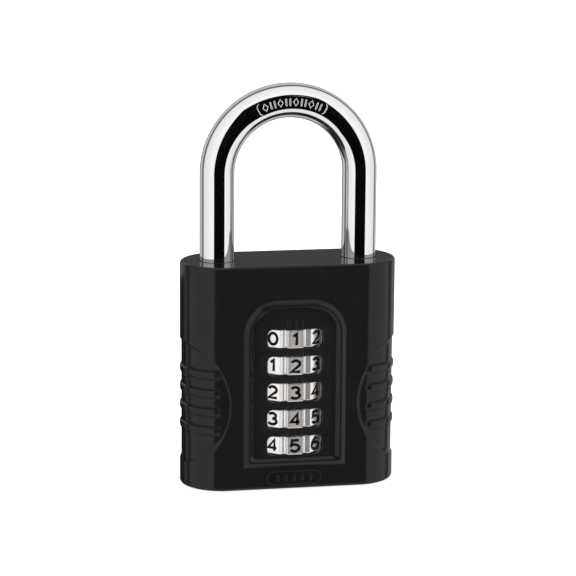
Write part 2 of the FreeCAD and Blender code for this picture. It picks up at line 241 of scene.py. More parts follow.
def side_band(side):
    """Rows by columns round one side: a flat, then two arcs that meet at the side's middle, then a flat."""
    inset, z = row_inset[:, None], row_z[:, None]
    flat = flat_foot + (flat_top - flat_foot) * z / body_height
    depth, width = half_depth - inset, half_width - inset
    reach = width - flat
    radius = (reach**2 + depth**2) / (2 * reach)
    centre = width - radius
    on_flat = np.linspace(0, 1, 9)[None, :-1]
    angle = np.arctan2(-depth, flat - centre) * (1 - np.linspace(0, 1, 37) ** 1.25)[None, :]
    x = np.concatenate([patch_edge + (flat - patch_edge) * on_flat, centre + radius * np.cos(angle)], 1)
    y = np.concatenate([-depth + 0 * on_flat, radius * np.sin(angle)], 1)
    nx = np.concatenate([0 * flat * on_flat, np.cos(angle)], 1)
    ny = np.concatenate([-1 + 0 * flat * on_flat, np.sin(angle)], 1)
    push = grip_push(x, z + 0 * x)
    x, y = x - nx * push, y - ny * push
    x = np.concatenate([x, x[:, -2::-1]], 1)
    y = np.concatenate([y, -y[:, -2::-1]], 1)
    return np.stack([side * x, y, z + 0 * x], -1)


right_band = side_band(1)
left_band = side_band(-1)
print("side band", right_band.shape)


# %% Outlines of the openings
def frame_outline(inset, steps=25, foot_round=0.4, round_gain=0.45):
    """The window frame's outline at an inset: left side up, arc, top, arc, right side down, then the foot."""
    half, top, foot = frame_half - inset, frame_top - inset, frame_foot + inset
    corner = frame_corner - inset
    low_round = foot_round + round_gain * inset
    a = np.linspace(0, math.pi / 2, steps)
    left = np.stack([np.full(40, -half), np.linspace(foot + low_round, top - corner, 40)], -1)
    arc = np.stack([-half + corner * (1 - np.cos(a)), top - corner + corner * np.sin(a)], -1)
    top_x = np.linspace(-half + corner, half - corner, 12)
    flat = np.stack([top_x, np.full_like(top_x, top)], -1)
    foot_x = np.linspace(half - low_round, 0, 16)
    corner_x = half - low_round * (1 - np.cos(a[::3]))
    corner_z = foot + low_round * (1 - np.sin(a[::3]))
    low_arc = np.stack([corner_x, corner_z], -1)
    base = np.stack([foot_x, np.full_like(foot_x, foot)], -1)
    upper = np.concatenate([left, arc[1:], flat[1:-1], (arc * [-1, 1])[::-1], (left * [-1, 1])[::-1][1:]])
    lower = np.concatenate([low_arc[1:], base[1:], (base * [-1, 1])[::-1][1:], (low_arc * [-1, 1])[::-1][1:-1]])
    return np.concatenate([upper, lower])


def rounded_rectangle(half, low, high, radius, steps=8):
    """A rectangle with round corners, as points counter-clockwise."""
    corners = [(-half, low), (half, low), (half, high), (-half, high)]
    return rounded_path(corners, [radius] * 4, steps)


def on_outline(outline, centre, towards):
    """Where the rays from centre through the given points meet a closed outline round it."""
    dense = np.concatenate([outline, outline[:1]])
    t = np.linspace(0, len(outline), 6000, endpoint=False)
    fine_line = np.stack([np.interp(t, np.arange(len(dense)), dense[:, k]) for k in (0, 1)], -1) - centre
    angle = np.arctan2(fine_line[:, 1], fine_line[:, 0])
    order = np.argsort(angle)
    ray = towards - centre
    theta = np.arctan2(ray[:, 1], ray[:, 0])
    reach = np.interp(theta, angle[order], np.hypot(*fine_line[order].T), period=2 * math.pi)
    return centre + np.stack([reach * np.cos(theta), reach * np.sin(theta)], -1)


print("frame outline has", len(frame_outline(0)), "points")


# %% The flat front and back, with an opening in each
def flat_patch(y_side, outline, centre, lip, wall_to):
    """Rings from the patch's rectangle to the outline, then a small round lip and a wall inwards."""
    columns = np.linspace(-patch_edge, patch_edge, 25)
    level = row_inset == 0
    side_z = row_z[level]
    foot, top = side_z[0], side_z[-1]
    ring = np.concatenate([
        np.stack([columns, np.full_like(columns, foot)], -1),
        np.stack([np.full(len(side_z) - 2, patch_edge), side_z[1:-1]], -1),
        np.stack([columns[::-1], np.full_like(columns, top)], -1),
        np.stack([np.full(len(side_z) - 2, -patch_edge), side_z[1:-1][::-1]], -1),
    ])
    inner = on_outline(outline, centre, ring)
    levels = np.array([0, 0.1, 0.5, 0.9, 1.0])[:, None, None]
    flat = ring + (inner - ring) * levels
    flat_y = np.full(flat.shape[:2], y_side * half_depth)
    rings = [np.stack([flat[..., 0], flat_y, flat[..., 1]], -1)]
    turn = np.linspace(0, math.pi / 2, 5)[1:, None, None]
    pull = (inner - centre) / np.linalg.norm(inner - centre, axis=1)[:, None]
    lip_xz = inner - pull * lip * np.sin(turn)
    lip_y = y_side * (half_depth - lip * (1 - np.cos(turn[..., 0]))) + 0 * lip_xz[..., 0]
    rings.append(np.stack([lip_xz[..., 0], lip_y, lip_xz[..., 1]], -1))
    wall = rings[-1][-1:].copy()
    wall[..., 1] = wall_to
    rings.append(wall)
    strips = []
    for rows in (row_z <= foot + 1e-9, row_z >= top - 1e-9):
        inset, z = row_inset[rows][:, None], row_z[rows][:, None]
        x = columns[None, :] + 0 * inset
        strips.append((np.stack([x, y_side * (half_depth - inset) + 0 * x, z + 0 * x], -1), False))
    return [(np.concatenate(rings), True)] + strips


front_patch = flat_patch(-1, frame_outline(0.8), np.array([0.0, 32.0]), 0.1, -half_depth + 1.2)
cover_outline = rounded_rectangle(cover_high[0] + 0.35, cover_low[2] - 0.35, cover_high[2] + 0.35, 4.3)
back_patch = flat_patch(1, cover_outline, np.array([0.0, 34.0]), 0.3, cover_low[1])
print("front rings", front_patch[0][0].shape)


# %% The top, with a hole for each leg, and the underside
def top_patch(side, band):
    """Rings from half of the top's outline to one leg's hole, a round lip, and the hole's wall."""
    columns = np.linspace(0, patch_edge, 13)
    depth = half_depth - edge_round
    front = np.stack([side * columns[:-1], np.full(12, -depth)], -1)
    round_side = band[-1, :, :2]
    middle_y = np.linspace(depth, -depth, 17)[1:-1]
    outer = np.concatenate([front, round_side, front[::-1] * [1, -1], np.stack([0 * middle_y, middle_y], -1)])
    centre = np.array([side * leg_x, 0.0])
    ray = outer - centre
    unit = ray / np.linalg.norm(ray, axis=1)[:, None]
    hole, lip = rod + 0.15, 0.35
    rim = centre + unit * (hole + lip)
    levels = np.array([0, 0.03, 0.15, 0.35, 0.6, 0.8, 0.92, 0.98, 1.0])[:, None, None]
    flat = outer + (rim - outer) * levels
    rings = [np.concatenate([flat, np.full(flat.shape[:2] + (1,), body_height)], -1)]
    turn = np.linspace(0, math.pi / 2, 6)[1:, None]
    reach = hole + lip * (1 - np.sin(turn))
    drop = body_height - lip * (1 - np.cos(turn))
    reach, drop = np.append(reach, [[hole]], 0), np.append(drop, [[body_height - 4.8]], 0)
    xy = centre + unit[None] * reach[..., None]
    rings.append(np.concatenate([xy, drop[..., None] + np.zeros(xy.shape[:2] + (1,))], -1))
    return np.concatenate(rings), True


def underside():
    """Straight rungs between the front and the back of the foot's outline."""
    left, right = left_band[0, :, :2], right_band[0, :, :2]
    half = (len(left) + 1) // 2
    middle = np.stack([np.linspace(-patch_edge, patch_edge, 25), np.full(25, -half_depth + edge_round)], -1)
    front = np.concatenate([left[:half][::-1], middle[1:-1], right[:half]])
    rung = np.array([1, 0.97, 0.8, 0.55, 0.3, 0, -0.3, -0.55, -0.8, -0.97, -1.0])[:, None]
    xy = np.stack([front[None, :, 0] + 0 * rung, front[None, :, 1] * rung], -1)
    return np.concatenate([xy, np.zeros(xy.shape[:2] + (1,))], -1), False


skin_thickness = 0.9
bands = [(right_band, False), (left_band, False)]
ends = [top_patch(1, right_band), top_patch(-1, left_band), underside()]
casing_skin = mesh_object("casing_skin", bands + ends + front_patch + back_patch, sharp=80.0)
wall = casing_skin.modifiers.new("wall", "SOLIDIFY")
wall.thickness = skin_thickness * MM
wall.offset = -1
print("casing skin", len(casing_skin.data.polygons), "faces")

# %% [markdown]
# ## The window frame and panel
# A raised frame runs round the code wheels. Its section is a slope, a narrow crest and a second slope down to
# the panel, all slightly rounded. Carrying that section along an outline that shrinks with the section's
# inset keeps the corners true. The panel behind it is a slab with five openings.

# %% The frame
def swept_frame():
    """Each point of the section has an inset and a depth; its ring is the outline at that inset."""
    front = -half_depth - frame_rise
    root = -half_depth + 0.6
    section = rounded_path(
        [
            (0.0, root),
            (0.0, -half_depth - 0.02),
            (outer_slope, front),
            (outer_slope + crest, front),
            (outer_slope + crest + inner_slope, panel_y + 0.02),
            (outer_slope + crest + inner_slope, root),
        ],
        [0, 0.12, 0.25, 0.22, 0.1, 0],
    )
    section = np.concatenate([section, section[:1]])
    rings = []
    for inset, y in section:
        ring = frame_outline(inset)
        rings.append(np.stack([ring[:, 0], np.full(len(ring), y), ring[:, 1]], -1))
    return np.stack(rings), True


window_frame = mesh_object("window_frame", [swept_frame()])
print("window frame", len(window_frame.data.polygons), "faces")


# %% The panel
panel_columns = 73
side_lip = 0.8


def window_cell(z, half, back_y):
    """Rings from a cell's border to its window, round the lip, through the slab and back out behind it."""
    lip = np.array([side_lip, 0.2])
    window = rounded_rectangle(window_half, z - window_tall, z + window_tall, window_round)
    centre = np.array([0.0, z])
    tall = pitch / 2
    side = np.linspace(-tall, tall, 21)[1:-1]
    flat = np.linspace(-half, half, panel_columns)
    border = np.concatenate([
        np.stack([flat, np.full_like(flat, z - tall)], -1),
        np.stack([np.full_like(side, half), z + side], -1),
        np.stack([flat[::-1], np.full_like(flat, z + tall)], -1),
        np.stack([np.full_like(side, -half), z + side[::-1]], -1),
    ])
    edge = on_outline(window, centre, border)
    out = (border - edge) / np.maximum(np.linalg.norm(border - edge, axis=1), 1e-9)[:, None]
    rings = []
    for share in (1, 0.75, 0.5):
        ring = edge + out * lip + (border - edge - out * lip) * share
        rings.append((ring, panel_y))
    for angle in np.linspace(0, math.pi / 2, 5):
        depth = 0.2 + (side_lip - 0.2) * np.abs(out[:, 0]) ** 2
        rings.append((edge + out * lip * (1 - math.sin(angle)), panel_y + depth * (1 - math.cos(angle))))
    rings.append((edge, back_y))
    rings.append((border, back_y))
    grid = [np.stack([ring[:, 0], y + np.zeros(len(ring)), ring[:, 1]], -1) for ring, y in rings]
    return np.stack(grid), True


def panel_cap(y, half, inset=2.2):
    """The arched part above the top cell and the strip below the last one, as upright rungs."""
    flat = np.linspace(-half, half, panel_columns)
    corner = frame_corner - inset
    beyond = np.maximum(np.abs(flat) - (frame_half - frame_corner), 0)
    arch = frame_top - frame_corner + np.sqrt(np.maximum(corner**2 - beyond**2, 0))
    low = wheel_z[0] + pitch / 2
    t = np.linspace(0, 1, 12)[:, None]
    upper = np.stack([flat + 0 * t, y + 0 * flat * t, low + (np.maximum(arch, low + 0.05) - low) * t], -1)
    foot = wheel_z[-1] - pitch / 2
    t = np.linspace(0, 1, 2)[:, None]
    below = frame_foot + 1.9
    lower = np.stack([flat + 0 * t, y + 0 * flat * t, below + (foot - below) * t + 0 * flat], -1)
    return [(upper, False), (lower, False)]


def close_rim(obj):
    """Joins the front's open border to the back's, and turns every face outwards."""
    bm = bmesh.new()
    bm.from_mesh(obj.data)
    rim = [e for e in bm.edges if e.is_boundary]
    bmesh.ops.bridge_loops(bm, edges=rim)
    bmesh.ops.recalc_face_normals(bm, faces=bm.faces)
    bm.to_mesh(obj.data)
    bm.free()


panel_half = 13.1
panel_back = axis_y - math.sqrt((wheel_apothem + 0.25) ** 2 - window_half**2) - 0.25
cells = [window_cell(z, panel_half, panel_back) for z in wheel_z]
window_panel = mesh_object(
    "window_panel", cells + panel_cap(panel_y, panel_half) + panel_cap(panel_back, panel_half), outward=False
)
close_rim(window_panel)
print("window panel", len(window_panel.data.polygons), "faces, back at y", round(panel_back, 2))

# %% [markdown]
# ## Raised lines
# Fine raised lines mark the reading face above each window, and a plain badge sits under the frame. They are
# cast with the casing, so they have round tops. One small function carries a half-round section along any
# flat path.

# %% Beads along flat paths
def bead(path, half, rise, base_y, closed=False, section_steps=7):
    """A half-round ridge along a path of x, z points; open ends close to a point."""
    path = np.array(path, float)
    if closed:
        ahead = np.roll(path, -1, 0) - np.roll(path, 1, 0)
    else:
        ahead = np.gradient(path, axis=0)
    ahead /= np.linalg.norm(ahead, axis=1)[:, None]
    across = np.stack([-ahead[:, 1], ahead[:, 0]], -1)
    angle = np.linspace(0, math.pi, section_steps)
    width, height = half * np.cos(angle), rise * np.sin(angle)
    size = np.ones(len(path))
    if not closed:
        length = np.concatenate([[0], np.cumsum(np.linalg.norm(np.diff(path, axis=0), axis=1))])
        end = np.clip(np.minimum(length, length[-1] - length) / half, 0, 1)
        size = np.sqrt(np.maximum(1 - (1 - end) ** 2, 0))
    xz = path[None] + across[None] * (width[:, None] * size[None])[..., None]
    y = base_y - height[:, None] * size[None]
    top = np.stack([xz[..., 0], y, xz[..., 1]], -1)
    floor = top[[-1, 0]].copy()
    floor[..., 1] = base_y + 0.3
    ring = np.concatenate([top, floor[:1], floor[1:], top[:1]])
    if closed:
        ring = np.concatenate([ring, ring[:, :1]], 1)
    return ring, False


def straight(start, end, steps=12):
    """Evenly spaced points on a straight line, closer together at its ends."""
    t = (1 - np.cos(np.linspace(0, math.pi, steps))) / 2
    return np.array(start) + (np.array(end) - np.array(start)) * t[:, None]


index_grids = []
for n, z in enumerate(wheel_z):
    foot = z + window_tall + 0.2
    top = foot + (pitch - 2 * window_tall - 0.4 if n else 2.8)
    index_grids += [bead(straight((x, foot), (x, top)), 0.5, 0.32, panel_y) for x in (-2.1, 0.0, 2.1)]
index_lines = mesh_object("index_lines", index_grids)

badge_z = 3.55
badge_path = rounded_rectangle(8.2, badge_z - 2.0, badge_z + 2.0, 1.9, 8)
badge_grids = [bead(badge_path, 0.28, 0.28, -half_depth, closed=True)]
for x in (-5.0, -2.5, 0.0, 2.5, 5.0):
    badge_grids.append(bead(straight((x, badge_z - 1.2), (x, badge_z + 1.2)), 0.5, 0.32, -half_depth))
badge = mesh_object("badge", badge_grids)
print("index lines", len(index_lines.data.polygons), "badge", len(badge.data.polygons))

# %% [markdown]
# ## The shackle
# The shackle is a steel rod bent cold and polished. Its surface is a circle carried along a line, an arc and
# a line. The radius shrinks at the two ends and in the groove for the yoke, and a shallow stamped band with a
# flat floor lies across the front of the arch.

# %% The rod
toe_foot = body_height - 7.3
heel_foot = shackle_low[2]
chamfer = 0.9
groove_radius = 3.6
stamp_half = 28.0
stamp_length = stamp_half * math.radians(1) * leg_x
stamp_width = 1.9
stamp_corner = 1.3
stamp_floor = 0.42
off_arch = 999.0  # the angle that stands for a ring on a leg
mark_count = 8


def rod_stations():
    """Where the rod's rings are: height and radius on each leg, and degrees on the arch."""
    toe = [(toe_foot, 0.0), (toe_foot, rod - chamfer), (toe_foot + chamfer, rod)]
    toe += [(z, rod) for z in np.linspace(toe_foot + 1.4, arch_z - 0.3, 24)]
    coarse = np.arange(180, 90 + stamp_half + 2, -2.0)
    close = np.arange(90 + stamp_half + 1.5, 90 - stamp_half - 1.5, -0.35)
    angles = np.concatenate([coarse, close, 180 - coarse[::-1]])
    low, high = yoke_low[2] - 0.05, yoke_high[2] + 0.05
    heel = [(z, rod) for z in np.linspace(arch_z - 0.3, high + 0.2, 22)]
    heel += [(high, rod), (high, groove_radius), (low, groove_radius), (low, rod)]
    heel += [(z, rod) for z in np.linspace(low - 0.3, heel_foot + 1.3, 16)]
    heel += [(heel_foot + chamfer, rod), (heel_foot, rod - chamfer), (heel_foot, 0.0)]
    return toe, angles, heel


def shackle_surface():
    """Point = centre line + radius x (cos t outward + sin t forward); the stamp flattens the arch's front."""
    toe, angles, heel = rod_stations()
    near = np.linspace(90 - 24, 90 + 24, 65)
    around = np.radians(np.concatenate([near, np.linspace(116, 424, 78)]))
    toe_z, toe_radius = np.array(toe).T
    heel_z, heel_radius = np.array(heel).T
    turn = np.radians(angles)
    bend = np.stack([np.cos(turn), np.sin(turn)], -1)
    toe_line = np.stack([np.full_like(toe_z, -leg_x), toe_z], -1)
    heel_line = np.stack([np.full_like(heel_z, leg_x), heel_z], -1)
    centres = np.concatenate([toe_line, leg_x * bend + [0, arch_z], heel_line])[:, None]
    level = np.array([[1.0, 0.0]])
    outward = np.concatenate([-level.repeat(len(toe), 0), bend, level.repeat(len(heel), 0)])[:, None]
    radii = np.concatenate([toe_radius, np.full_like(angles, rod), heel_radius])[:, None]
    arch = np.concatenate([np.full_like(toe_z, off_arch), angles, np.full_like(heel_z, off_arch)])[:, None]
    aside = radii * np.cos(around)[None]
    forward = radii * np.sin(around)[None]
    along = np.abs(arch - 90) * math.radians(1) * leg_x - (stamp_length - stamp_corner)
    across = np.abs(aside) - (stamp_width - stamp_corner)
    off = np.hypot(np.maximum(along, 0), np.maximum(across, 0)) - stamp_corner
    inside = (1 - smoothstep(-0.16, 0.05, off)) * (forward > 0)
    floor = np.minimum(forward, rod - stamp_floor)
    forward = forward + (floor - forward) * inside
    xz = centres + outward * aside[..., None]
    return np.stack([xz[..., 0], -forward, xz[..., 1]], -1)


shackle_rod = mesh_object("shackle_rod", [(shackle_surface(), True)], sharp=40.0)
print("shackle", len(shackle_rod.data.polygons), "faces")


# %% The marks in the stamped band
def lozenge(angle, half_turn, half_across, y):
    """A raised four-sided mark: a low pyramid with a flat top, at an angle on the arch."""
    shares = np.array([0.0, 1.0, 0.72, 0.6, 0.0])[:, None]
    heights = np.array([0.0, 0.0, 0.2, 0.22, 0.22])[:, None]
    corner = np.radians(np.arange(0, 360, 30))[None, :]
    size = 1 / (np.abs(np.cos(corner)) + np.abs(np.sin(corner)))
    turn = math.radians(angle) + half_turn * shares * size * np.cos(corner) / leg_x
    reach = leg_x + half_across * shares * size * np.sin(corner)
    depth = y + 0.05 - heights - 0 * turn
    return np.stack([reach * np.cos(turn), depth, arch_z + reach * np.sin(turn)], -1), True


stamp_y = -rod + stamp_floor
mark_angles = 90 + (np.arange(mark_count) - (mark_count - 1) / 2) * 6.2
mark_grids = []
for n, angle in enumerate(mark_angles):
    if n % 2:
        mark_grids.append(lozenge(angle, 0.95, 1.35, stamp_y))
    else:
        for shift in (-1.6, 1.6):
            turn = math.radians(angle + shift)
            reach = [leg_x - 1.15, leg_x + 1.15]
            ends = [(r * math.cos(turn), arch_z + r * math.sin(turn)) for r in reach]
            mark_grids.append(bead(straight(*ends), 0.26, 0.24, stamp_y))
stamp_marks = mesh_object("stamp_marks", mark_grids)
print("stamp marks", len(stamp_marks.data.polygons), "faces")

# %% [markdown]
# ## The code wheels
# Each wheel has ten flat faces for its digits and a V-shaped valley between each pair, which the finger
# pushes on. The outline is a loop of short lines and small arcs, and carrying it over the wheel's height with
# a small chamfer at both ends gives the polished rim its bright edges. The bore closes the ring inside.

# %% One wheel
def wheel_outline():
    """Flat faces with a valley between each pair: two straight flanks and a small arc at the bottom."""
    half_face = digit_face / 2
    step = math.radians(36)
    edge = math.atan2(half_face, wheel_apothem)
    reach = math.hypot(wheel_apothem, half_face)
    face_x = np.linspace(-half_face, half_face, 7)
    face = np.stack([face_x, np.full_like(face_x, wheel_apothem)], -1)
    face[[0, -1], 1] -= 0.03
    middle = np.array([math.sin(step / 2), math.cos(step / 2)])
    near = reach * np.array([math.sin(edge), math.cos(edge)])
    far = reach * np.array([math.sin(step - edge), math.cos(step - edge)])
    valley = rounded_path([near, middle * (wheel_apothem - valley_depth), far], [0, 0.35, 0], 6)[1:-1]
    flank_in, flank_out = (near + valley[0]) / 2, (far + valley[-1]) / 2
    piece = np.concatenate([face, flank_in[None], valley, flank_out[None]])
    turn = np.arange(10)[:, None] * step
    x = piece[None, :, 0] * np.cos(turn) + piece[None, :, 1] * np.sin(turn)
    y = piece[None, :, 1] * np.cos(turn) - piece[None, :, 0] * np.sin(turn)
    return np.stack([x, y], -1).reshape(-1, 2)


outline = wheel_outline()


def code_wheel(n, z):
    """Rings from the bore over the chamfered rim and back to the bore."""
    chamfer_size = 0.22
    bore = 5.75
    unit = outline / np.linalg.norm(outline, axis=1)[:, None]
    smaller = outline - unit * chamfer_size
    rings = [
        (unit * bore, -wheel_half),
        (unit * 8.5, -wheel_half),
        (smaller, -wheel_half),
        (outline - unit * 0.06, -wheel_half + 0.09),
        (outline, -wheel_half + chamfer_size),
        (outline, -wheel_half + chamfer_size + 0.1),
        (outline, wheel_half - chamfer_size - 0.1),
        (outline, wheel_half - chamfer_size),
        (outline - unit * 0.06, wheel_half - 0.09),
        (smaller, wheel_half),
        (unit * 8.5, wheel_half),
        (unit * bore, wheel_half),
        (unit * bore, -wheel_half),
    ]
    grid = [np.stack([ring[:, 0], axis_y - ring[:, 1], np.full(len(ring), z + h)], -1) for ring, h in rings]
    return mesh_object(f"wheel_rim_{n}", [(np.stack(grid), True)], sharp=25.0)


wheels = [code_wheel(n, z) for n, z in enumerate(wheel_z, 1)]
print("one wheel", len(wheels[0].data.polygons), "faces")

# %% [markdown]
# ## The digits
# The digits are moulded into the faces and filled with black enamel. They are drawn the way a stencil cutter
# draws them: each digit is a few strokes of one width, made of lines and arcs in a box one wide and one high.
# A stroke is a flat ribbon along its path, which stands a hair's breadth proud of the face.

# %% Digit strokes
digit_tall = 3.4  # between the stroke's centre lines
digit_wide = 2.7
stroke_half = 0.44
digit_rise = 0.035
digit_root = 0.15  # how deep a stroke reaches into the face


def arc(cx, cy, rx, ry, start, end, steps=22):
    """Points on an ellipse between two angles in degrees."""
    a = np.radians(np.linspace(start, end, steps))
    return np.stack([cx + rx * np.cos(a), cy + ry * np.sin(a)], -1)


def strokes_of(digit):
    """The centre lines of one digit."""
    line = np.array
    flag = line([(0.94, 1.0), (0.18, 1.0), (0.1, 0.54)])
    five = np.concatenate([flag, arc(0.47, 0.31, 0.5, 0.31, 125, -152)])
    hook = np.concatenate([arc(0.86, 0.42, 0.86, 0.58, 97, 178, 14), arc(0.5, 0.31, 0.5, 0.31, 180, 180 + 360)])
    shapes = [
        [arc(0.5, 0.5, 0.5, 0.5, 0, 360, 40)],
        [line([(0.22, 0.76), (0.6, 1.0), (0.6, 0.0)])],
        [np.concatenate([arc(0.5, 0.7, 0.46, 0.3, 160, -35), line([(0.02, 0.0), (1.0, 0.0)])])],
        [arc(0.47, 0.75, 0.43, 0.25, 155, -90), arc(0.47, 0.26, 0.5, 0.26, 90, -155)],
        [line([(0.74, 0.0), (0.74, 1.0), (0.0, 0.27), (1.0, 0.27)])],
        [five],
        [hook],
        [line([(0.02, 1.0), (1.0, 1.0), (0.38, 0.0)])],
        [arc(0.5, 0.76, 0.41, 0.24, 0, 360, 30), arc(0.5, 0.26, 0.5, 0.26, 0, 360, 30)],
        [1 - hook],
    ]
    return [(stroke - 0.5) * [digit_wide, digit_tall] for stroke in shapes[digit]]


def ribbon(path):
    """A flat bar along a path: its corners are mitred, and its section is a rectangle."""
    step = np.diff(path, axis=0)
    step /= np.linalg.norm(step, axis=1)[:, None]
    before = np.concatenate([step[:1], step])
    after = np.concatenate([step, step[-1:]])
    closed = np.allclose(path[0], path[-1])
    if closed:
        before[0], after[-1] = step[-1], step[0]
    along = before + after
    along /= np.maximum(np.linalg.norm(along, axis=1), 0.2)[:, None]
    stretch = 1 / np.clip(np.sum(along * after, 1), 0.55, 1)
    across = np.stack([-along[:, 1], along[:, 0]], -1) * (stroke_half * stretch)[:, None]
    sides = [(1, digit_rise), (-1, digit_rise), (-1, -digit_root), (1, -digit_root)]
    grid = [np.concatenate([path + way * across, np.full((len(path), 1), h)], 1) for way, h in sides]
    ends = [] if closed else [np.stack([grid[0][k], grid[1][k], grid[2][k], grid[3][k]]) for k in (0, -1)]
    return np.stack(grid + grid[:1]), ends


def wheel_digits(n, z):
    """All ten digits of one wheel: the n-th wheel shows digit n, and they count up towards +X."""
    grids = []
    for step in range(10):
        turn = math.radians(36 * step)
        for path in strokes_of((n + step) % 10):
            surface, ends = ribbon(path)
            pieces = [surface] + [end[[[0, 1], [3, 2]]] for end in ends]
            for piece in pieces:
                out = wheel_apothem + piece[..., 2]
                x = piece[..., 0] * math.cos(turn) + out * math.sin(turn)
                y = axis_y - out * math.cos(turn) + piece[..., 0] * math.sin(turn)
                grids.append((np.stack([x, y, z + piece[..., 1]], -1), False))
    return mesh_object(f"digits_{n}", grids, sharp=30.0)


digits = [wheel_digits(n, z) for n, z in enumerate(wheel_z, 1)]
print("digits on one wheel", len(digits[0].data.polygons), "faces")

# %% [markdown]
# ## Finishes
# Each finish is a small tree of nodes on Object coordinates, so its grain keeps its real size. The black coat
# is a thick gloss with a faint orange peel; chrome is nearly a mirror with fine polishing lines; the inner
# parts are plated steel, brass and spring steel.

# %% A helper for node trees
def finish(name, colour, metallic, roughness, coat=0.0, coat_roughness=0.05, specular=0.5):
    """A new material whose shader has its plain values set on its own sockets."""
    material = bpy.data.materials.new(name)
    material.use_nodes = True
    tree = material.node_tree
    shader = tree.nodes["Principled BSDF"]
    shader.inputs["Base Color"].default_value = (*colour, 1)
    shader.inputs["Metallic"].default_value = metallic
    shader.inputs["Roughness"].default_value = roughness
    shader.inputs["Coat Weight"].default_value = coat
    shader.inputs["Coat Roughness"].default_value = coat_roughness
    shader.inputs["Specular IOR Level"].default_value = specular
    coordinates = tree.nodes.new("ShaderNodeTexCoord").outputs["Object"]
    return material, tree, shader, coordinates


def stretched(tree, coordinates, scale):
    """The same coordinates, stretched by a scale for each axis."""
    mapping = tree.nodes.new("ShaderNodeMapping")
    mapping.inputs["Scale"].default_value = scale
    tree.links.new(coordinates, mapping.inputs["Vector"])
    return mapping.outputs["Vector"]


def noise(tree, vector, cell_mm, detail=3.0, rough=0.5):
    """Smooth noise whose cells are about this many millimetres."""
    node = tree.nodes.new("ShaderNodeTexNoise")
    node.inputs["Scale"].default_value = 1 / (cell_mm * MM)
    node.inputs["Detail"].default_value = detail
    node.inputs["Roughness"].default_value = rough
    tree.links.new(vector, node.inputs["Vector"])
    return node.outputs["Fac"]


def between(tree, factor, low, high, from_low=0.3, from_high=0.7):
    """The factor carried from one range to another."""
    node = tree.nodes.new("ShaderNodeMapRange")
    node.inputs["From Min"].default_value = from_low
    node.inputs["From Max"].default_value = from_high
    node.inputs["To Min"].default_value = low
    node.inputs["To Max"].default_value = high
    tree.links.new(factor, node.inputs["Value"])
    return node.outputs["Result"]


def blend_colour(tree, factor, first, second):
    """A mix of two colours by a factor."""
    node = tree.nodes.new("ShaderNodeMix")
    node.data_type = "RGBA"
    node.inputs["A"].default_value = (*first, 1)
    node.inputs["B"].default_value = (*second, 1)
    tree.links.new(factor, node.inputs["Factor"])
    return node.outputs["Result"]


def tint(tree, shader, factor, first, second):
    """The shader's base colour runs from the first colour to the second by a factor."""
    tree.links.new(blend_colour(tree, factor, first, second), shader.inputs["Base Color"])


def bump(tree, shader, height, depth_mm):
    """A height in millimetres pushed onto the shader's normal."""
    node = tree.nodes.new("ShaderNodeBump")
    node.inputs["Distance"].default_value = depth_mm * MM
    tree.links.new(height, node.inputs["Height"])
    tree.links.new(node.outputs["Normal"], shader.inputs["Normal"])


print("finish helpers ready")


# %% The black coat
def black_coat():
    """Near-black gloss: a slow waviness of the coat, a finer peel, and small changes in gloss."""
    material, tree, shader, where = finish("black_coat", (0.009, 0.009, 0.010), 0.0, 0.14, specular=0.25)
    peel = noise(tree, where, 0.8, 2.0)
    cloud = noise(tree, where, 9.0, 4.0)
    tree.links.new(between(tree, cloud, 0.11, 0.18), shader.inputs["Roughness"])
    tint(tree, shader, cloud, (0.0075, 0.0075, 0.008), (0.0105, 0.0105, 0.011))
    bump(tree, shader, peel, 0.004)
    return material


coat = black_coat()
print("made", coat.name)


# %% The shackle's chrome
def mirror_chrome():
    """Polished chrome: almost no roughness, with faint lines round the rod and a slight warm cast."""
    material, tree, shader, where = finish("mirror_chrome", (0.90, 0.89, 0.88), 1.0, 0.035)
    lines = noise(tree, stretched(tree, where, (1, 1, 12)), 3.0, 5.0, 0.6)
    smear = noise(tree, where, 6.0, 3.0)
    tree.links.new(between(tree, smear, 0.02, 0.06), shader.inputs["Roughness"])
    tint(tree, shader, smear, (0.885, 0.87, 0.856), (0.925, 0.912, 0.90))
    bump(tree, shader, lines, 0.0006)
    return material


chrome = mirror_chrome()
print("made", chrome.name)


# %% The wheels' chrome and the digits' enamel
def wheel_chrome():
    """Satin chrome for the wheels: brushed round the wheel, so the lines run level."""
    material, tree, shader, where = finish("wheel_chrome", (0.95, 0.91, 0.88), 0.78, 0.15)
    lines = noise(tree, stretched(tree, where, (1, 1, 14)), 1.6, 5.0, 0.6)
    patches = noise(tree, where, 2.5, 3.0)
    tree.links.new(between(tree, patches, 0.11, 0.18), shader.inputs["Roughness"])
    tint(tree, shader, patches, (0.92, 0.885, 0.86), (0.98, 0.95, 0.93))
    bump(tree, shader, lines, 0.0015)
    return material


def digit_enamel():
    """Black enamel in the digits, dull with a fine grain."""
    material, tree, shader, where = finish("digit_enamel", (0.006, 0.006, 0.006), 0.0, 0.45, specular=0.15)
    grain = noise(tree, where, 0.12, 3.0)
    tree.links.new(between(tree, grain, 0.38, 0.55), shader.inputs["Roughness"])
    tint(tree, shader, grain, (0.003, 0.003, 0.003), (0.008, 0.008, 0.008))
    bump(tree, shader, grain, 0.004)
    return material


satin = wheel_chrome()
enamel = digit_enamel()
print("made", satin.name, enamel.name)


# %% The metals inside
def turned_metal(name, dark, light, low_rough, high_rough, line_scale, line_mm):
    """Bare or plated metal with tool lines and patchy tone."""
    material, tree, shader, where = finish(name, light, 1.0, low_rough)
    lines = noise(tree, stretched(tree, where, line_scale), line_mm, 5.0, 0.65)
    patches = noise(tree, where, 1.8, 4.0)
    tree.links.new(between(tree, lines, low_rough, high_rough), shader.inputs["Roughness"])
    tint(tree, shader, patches, dark, light)
    bump(tree, shader, lines, 0.003)
    return material


